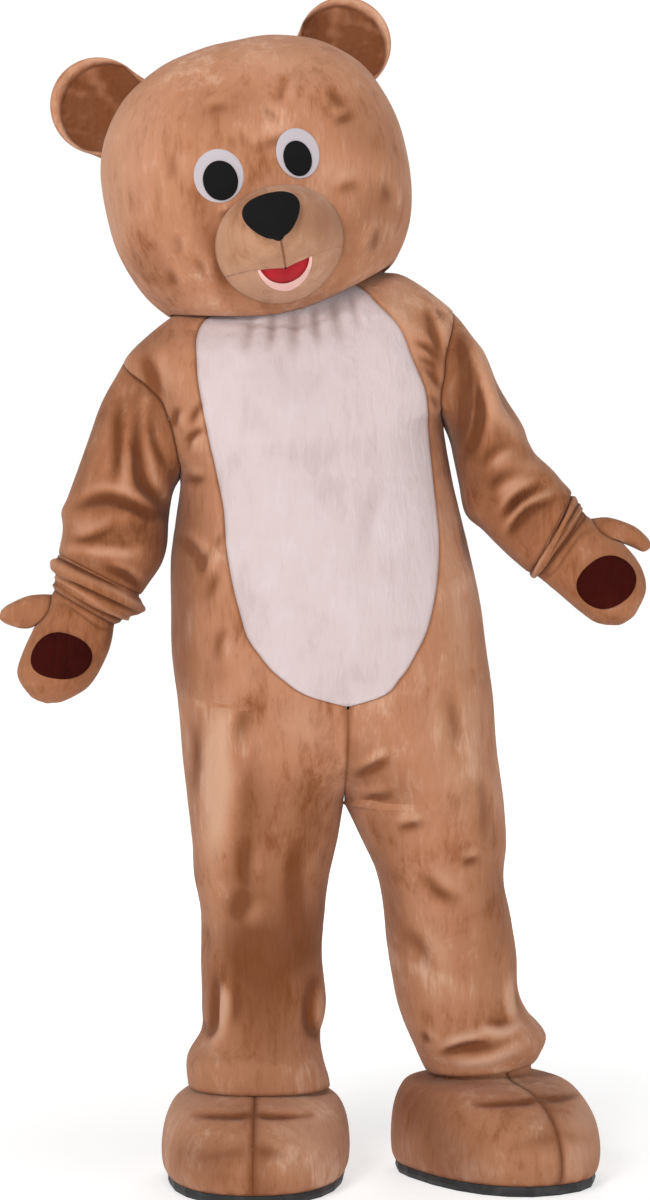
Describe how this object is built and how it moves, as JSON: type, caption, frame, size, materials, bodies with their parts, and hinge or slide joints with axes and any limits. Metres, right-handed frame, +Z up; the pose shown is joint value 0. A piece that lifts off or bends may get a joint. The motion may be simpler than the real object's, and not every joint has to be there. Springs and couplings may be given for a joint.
{
  "type": "teddy bear costume",
  "caption": "Worn full-body teddy bear costume in tan plush with a pale tummy panel, big round head, dark palm pads, mitts and padded shoes.",
  "frame": {"origin": "middle of the wearer's shoulder line, inside the neck of the suit", "axes": "+Z up, -Y the way the costume faces, +X to the right of someone facing it"},
  "size_m": [1.0668, 0.542, 1.9421],
  "materials": {
    "tan_plush": "short plush pile",
    "pale_tan_plush": "short plush pile",
    "off_white_plush": "short plush pile",
    "maroon_plush": "short plush pile",
    "black_felt": "felt",
    "white_felt": "felt",
    "red_felt": "felt",
    "pink_felt": "felt",
    "zip_tape": "woven tape",
    "zip_metal": "dark metal",
    "black_sole": "matt sole sheet"
  },
  "bodies": {
    "root": {"head_front": "tan_plush", "head_back": "tan_plush", "ear_left_inner": "tan_plush", "ear_left_outer": "tan_plush", "ear_right_inner": "tan_plush", "ear_right_outer": "tan_plush", "muzzle_left": "pale_tan_plush", "muzzle_right": "pale_tan_plush", "muzzle_chin": "pale_tan_plush", "nose": "black_felt", "mouth": "red_felt", "lip": "pink_felt", "eye_left": "white_felt", "eye_right": "white_felt", "pupil_left": "black_felt", "pupil_right": "black_felt", "tummy": "off_white_plush", "front_left": "tan_plush", "front_right": "tan_plush", "back_left": "tan_plush", "back_right": "tan_plush", "back_zip": "zip_tape", "zip_slider": "zip_metal", "sleeve_left": "tan_plush", "sleeve_right": "tan_plush", "cuff_left": "tan_plush", "cuff_right": "tan_plush", "palm_left": "tan_plush", "palm_right": "tan_plush", "hand_back_left": "tan_plush", "hand_back_right": "tan_plush", "thumb_left": "tan_plush", "thumb_right": "tan_plush", "pad_left": "maroon_plush", "pad_right": "maroon_plush", "shoe_left_inner": "tan_plush", "shoe_left_outer": "tan_plush", "shoe_right_inner": "tan_plush", "shoe_right_outer": "tan_plush", "sole_left": "black_sole", "sole_right": "black_sole"}
  },
  "joints": []
}
